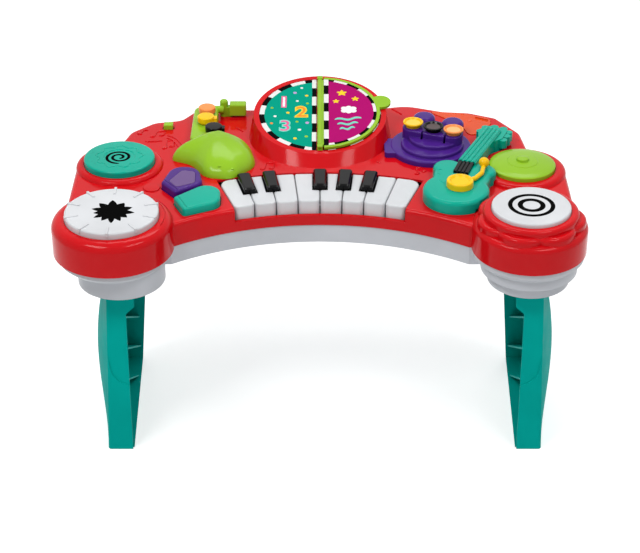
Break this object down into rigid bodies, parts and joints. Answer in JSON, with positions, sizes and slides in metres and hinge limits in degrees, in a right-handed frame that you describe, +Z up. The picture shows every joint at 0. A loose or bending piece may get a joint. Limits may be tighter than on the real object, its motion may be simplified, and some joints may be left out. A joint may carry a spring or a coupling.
{
  "type": "musical activity table",
  "caption": "Crescent-shaped toddler music table on two panel legs, with piano keys, drum pads, a horn, a drum kit, a guitar and a turning picture-book leaf.",
  "frame": {"origin": "on the floor, at the middle of the table's outline", "axes": "+X to the right as the child sees it, +Y away from the child, +Z up"},
  "size_m": [0.582, 0.3661, 0.3206],
  "materials": {
    "red_abs": "glossy moulded",
    "pale_abs": "satin moulded",
    "leg_teal": "satin moulded",
    "teal_abs": "glossy moulded",
    "lime_abs": "glossy moulded",
    "purple_abs": "glossy moulded",
    "yellow_abs": "glossy moulded",
    "orange_abs": "glossy moulded",
    "magenta_card": "printed card",
    "teal_card": "printed card",
    "black_abs": "glossy moulded",
    "white_abs": "satin moulded",
    "orange_clear": "translucent moulded",
    "violet_clear": "translucent moulded",
    "board_green": "solder mask",
    "dome_rubber": "silicone",
    "steel": "zinc plated",
    "cell_wrap": "plain wrap",
    "grey_abs": "moulded"
  },
  "bodies": {
    "table": {"top_housing": "red_abs", "base_housing": "pale_abs", "battery_door": "pale_abs", "battery_door_screw": "steel", "battery_cells": "cell_wrap", "battery_contacts": "steel", "housing_screws": "steel", "main_board": "board_green", "speaker": "black_abs", "key_board": "board_green", "key_domes": "dome_rubber", "key_rail": "grey_abs", "pad_boards": "board_green", "pad_domes": "dome_rubber", "horn_body": "lime_abs", "horn_bell": "lime_abs", "kit_body": "purple_abs", "guitar_body": "teal_abs", "guitar_strings": "black_abs", "slide_switch": "grey_abs", "light_cover": "orange_clear", "light_lamps": "board_green", "book_cards": "teal_card", "book_spine": "lime_abs"},
    "leg_left": {"leg_left": "leg_teal"},
    "leg_right": {"leg_right": "leg_teal"},
    "snare_pad": {"snare_pad": "white_abs"},
    "tom_pad": {"tom_pad": "white_abs"},
    "scratch_pad": {"scratch_pad": "teal_abs"},
    "cymbal_pad": {"cymbal_pad": "lime_abs"},
    "guitar_lever": {"guitar_lever": "yellow_abs"},
    "purple_pedal": {"purple_pedal": "purple_abs", "pedal_window": "violet_clear"},
    "teal_pedal": {"teal_pedal": "teal_abs"},
    "power_slider": {"power_slider": "lime_abs"},
    "book_leaf": {"book_leaf": "lime_abs", "leaf_cards": "magenta_card"},
    "white_key_1": {"white_key_1": "white_abs"},
    "white_key_2": {"white_key_2": "white_abs"},
    "white_key_3": {"white_key_3": "white_abs"},
    "white_key_4": {"white_key_4": "white_abs"},
    "white_key_5": {"white_key_5": "white_abs"},
    "white_key_6": {"white_key_6": "white_abs"},
    "white_key_7": {"white_key_7": "white_abs"},
    "white_key_8": {"white_key_8": "white_abs"},
    "black_key_1": {"black_key_1": "black_abs"},
    "black_key_2": {"black_key_2": "black_abs"},
    "black_key_3": {"black_key_3": "black_abs"},
    "black_key_4": {"black_key_4": "black_abs"},
    "black_key_5": {"black_key_5": "black_abs"},
    "horn_key_1": {"horn_key_1": "orange_abs"},
    "kit_disc_1": {"kit_disc_1": "yellow_abs"},
    "horn_key_2": {"horn_key_2": "yellow_abs"},
    "kit_disc_2": {"kit_disc_2": "black_abs"},
    "horn_key_3": {"horn_key_3": "black_abs"},
    "kit_disc_3": {"kit_disc_3": "orange_abs"}
  },
  "joints": [
    {"name": "white_key_1_hinge", "type": "hinge", "parent": "table", "child": "white_key_1", "pos_m": [-0.10411, -0.00039, 0.2675], "axis": [0.9599, 0.2802, 0], "range_deg": [0, 2.5], "stiffness_Nm_per_rad": 0.8, "springref_deg": -1.72},
    {"name": "white_key_2_hinge", "type": "hinge", "parent": "table", "child": "white_key_2", "pos_m": [-0.07486, 0.00688, 0.2675], "axis": [0.9795, 0.2015, 0], "range_deg": [0, 2.5], "stiffness_Nm_per_rad": 0.8, "springref_deg": -1.72},
    {"name": "white_key_3_hinge", "type": "hinge", "parent": "table", "child": "white_key_3", "pos_m": [-0.04511, 0.01175, 0.2675], "axis": [0.9926, 0.1214, 0], "range_deg": [0, 2.5], "stiffness_Nm_per_rad": 0.8, "springref_deg": -1.72},
    {"name": "white_key_4_hinge", "type": "hinge", "parent": "table", "child": "white_key_4", "pos_m": [-0.01507, 0.01419, 0.2675], "axis": [0.9992, 0.0406, 0], "range_deg": [0, 2.5], "stiffness_Nm_per_rad": 0.8, "springref_deg": -1.72},
    {"name": "white_key_5_hinge", "type": "hinge", "parent": "table", "child": "white_key_5", "pos_m": [0.01507, 0.01419, 0.2675], "axis": [0.9992, -0.0406, 0], "range_deg": [0, 2.5], "stiffness_Nm_per_rad": 0.8, "springref_deg": -1.72},
    {"name": "white_key_6_hinge", "type": "hinge", "parent": "table", "child": "white_key_6", "pos_m": [0.04511, 0.01175, 0.2675], "axis": [0.9926, -0.1214, 0], "range_deg": [0, 2.5], "stiffness_Nm_per_rad": 0.8, "springref_deg": -1.72},
    {"name": "white_key_7_hinge", "type": "hinge", "parent": "table", "child": "white_key_7", "pos_m": [0.07486, 0.00688, 0.2675], "axis": [0.9795, -0.2015, 0], "range_deg": [0, 2.5], "stiffness_Nm_per_rad": 0.8, "springref_deg": -1.72},
    {"name": "white_key_8_hinge", "type": "hinge", "parent": "table", "child": "white_key_8", "pos_m": [0.10411, -0.00039, 0.2675], "axis": [0.9599, -0.2802, 0], "range_deg": [0, 2.5], "stiffness_Nm_per_rad": 0.8, "springref_deg": -1.72},
    {"name": "black_key_1_hinge", "type": "hinge", "parent": "table", "child": "black_key_1", "pos_m": [-0.08956, 0.00354, 0.2675], "axis": [0.9705, 0.2411, 0], "range_deg": [0, 2.5], "stiffness_Nm_per_rad": 0.8, "springref_deg": -1.72},
    {"name": "black_key_2_hinge", "type": "hinge", "parent": "table", "child": "black_key_2", "pos_m": [-0.06004, 0.00962, 0.2675], "axis": [0.9869, 0.1616, 0], "range_deg": [0, 2.5], "stiffness_Nm_per_rad": 0.8, "springref_deg": -1.72},
    {"name": "black_key_3_hinge", "type": "hinge", "parent": "table", "child": "black_key_3", "pos_m": [0, 0.0145, 0.2675], "axis": [1, 0, 0], "range_deg": [0, 2.5], "stiffness_Nm_per_rad": 0.8, "springref_deg": -1.72},
    {"name": "black_key_4_hinge", "type": "hinge", "parent": "table", "child": "black_key_4", "pos_m": [0.03012, 0.01328, 0.2675], "axis": [0.9967, -0.0811, 0], "range_deg": [0, 2.5], "stiffness_Nm_per_rad": 0.8, "springref_deg": -1.72},
    {"name": "black_key_5_hinge", "type": "hinge", "parent": "table", "child": "black_key_5", "pos_m": [0.06004, 0.00962, 0.2675], "axis": [0.9869, -0.1616, 0], "range_deg": [0, 2.5], "stiffness_Nm_per_rad": 0.8, "springref_deg": -1.72},
    {"name": "snare_pad_press", "type": "slide", "parent": "table", "child": "snare_pad", "axis": [0, 0, 1], "range_m": [-0.0025, 0], "stiffness_N_per_m": 400, "springref_m": 0.002},
    {"name": "tom_pad_press", "type": "slide", "parent": "table", "child": "tom_pad", "axis": [0, 0, 1], "range_m": [-0.0025, 0], "stiffness_N_per_m": 400, "springref_m": 0.002},
    {"name": "scratch_pad_press", "type": "slide", "parent": "table", "child": "scratch_pad", "axis": [0, 0, 1], "range_m": [-0.0025, 0], "stiffness_N_per_m": 400, "springref_m": 0.002},
    {"name": "cymbal_pad_press", "type": "slide", "parent": "table", "child": "cymbal_pad", "axis": [0, 0, 1], "range_m": [-0.0025, 0], "stiffness_N_per_m": 400, "springref_m": 0.002},
    {"name": "horn_key_1_press", "type": "slide", "parent": "table", "child": "horn_key_1", "axis": [0, 0, 1], "range_m": [-0.002, 0], "stiffness_N_per_m": 300, "springref_m": 0.001},
    {"name": "horn_key_2_press", "type": "slide", "parent": "table", "child": "horn_key_2", "axis": [0, 0, 1], "range_m": [-0.002, 0], "stiffness_N_per_m": 300, "springref_m": 0.001},
    {"name": "horn_key_3_press", "type": "slide", "parent": "table", "child": "horn_key_3", "axis": [0, 0, 1], "range_m": [-0.002, 0], "stiffness_N_per_m": 300, "springref_m": 0.001},
    {"name": "kit_disc_1_press", "type": "slide", "parent": "table", "child": "kit_disc_1", "axis": [0, 0, 1], "range_m": [-0.002, 0], "stiffness_N_per_m": 300, "springref_m": 0.001},
    {"name": "kit_disc_2_press", "type": "slide", "parent": "table", "child": "kit_disc_2", "axis": [0, 0, 1], "range_m": [-0.002, 0], "stiffness_N_per_m": 300, "springref_m": 0.001},
    {"name": "kit_disc_3_press", "type": "slide", "parent": "table", "child": "kit_disc_3", "axis": [0, 0, 1], "range_m": [-0.002, 0], "stiffness_N_per_m": 300, "springref_m": 0.001},
    {"name": "purple_pedal_hinge", "type": "hinge", "parent": "table", "child": "purple_pedal", "pos_m": [-0.16545, -0.04282, 0.271], "axis": [-0.5861, 0.8102, 0], "range_deg": [0, 3.5], "stiffness_Nm_per_rad": 0.8, "springref_deg": -1.72},
    {"name": "teal_pedal_hinge", "type": "hinge", "parent": "table", "child": "teal_pedal", "pos_m": [-0.15094, -0.08145, 0.271], "axis": [-0.4091, 0.9125, 0], "range_deg": [0, 3.5], "stiffness_Nm_per_rad": 0.8, "springref_deg": -1.72},
    {"name": "guitar_lever_turn", "type": "hinge", "parent": "table", "child": "guitar_lever", "pos_m": [0.155, -0.055, 0.293], "axis": [0, 0, 1], "range_deg": [-22, 0], "stiffness_Nm_per_rad": 0.02},
    {"name": "power_slider_slide", "type": "slide", "parent": "table", "child": "power_slider", "axis": [1, 0, 0], "range_m": [-0.0025, 0.0025]},
    {"name": "book_leaf_turn", "type": "hinge", "parent": "table", "child": "book_leaf", "pos_m": [0, 0.1054, 0.3053], "axis": [0, -0.9854, -0.1702], "range_deg": [0, 176]},
    {"name": "leg_left_pull", "type": "slide", "parent": "table", "child": "leg_left", "axis": [0, 0, -1], "range_m": [0, 0.022]},
    {"name": "leg_right_pull", "type": "slide", "parent": "table", "child": "leg_right", "axis": [0, 0, -1], "range_m": [0, 0.022]}
  ]
}
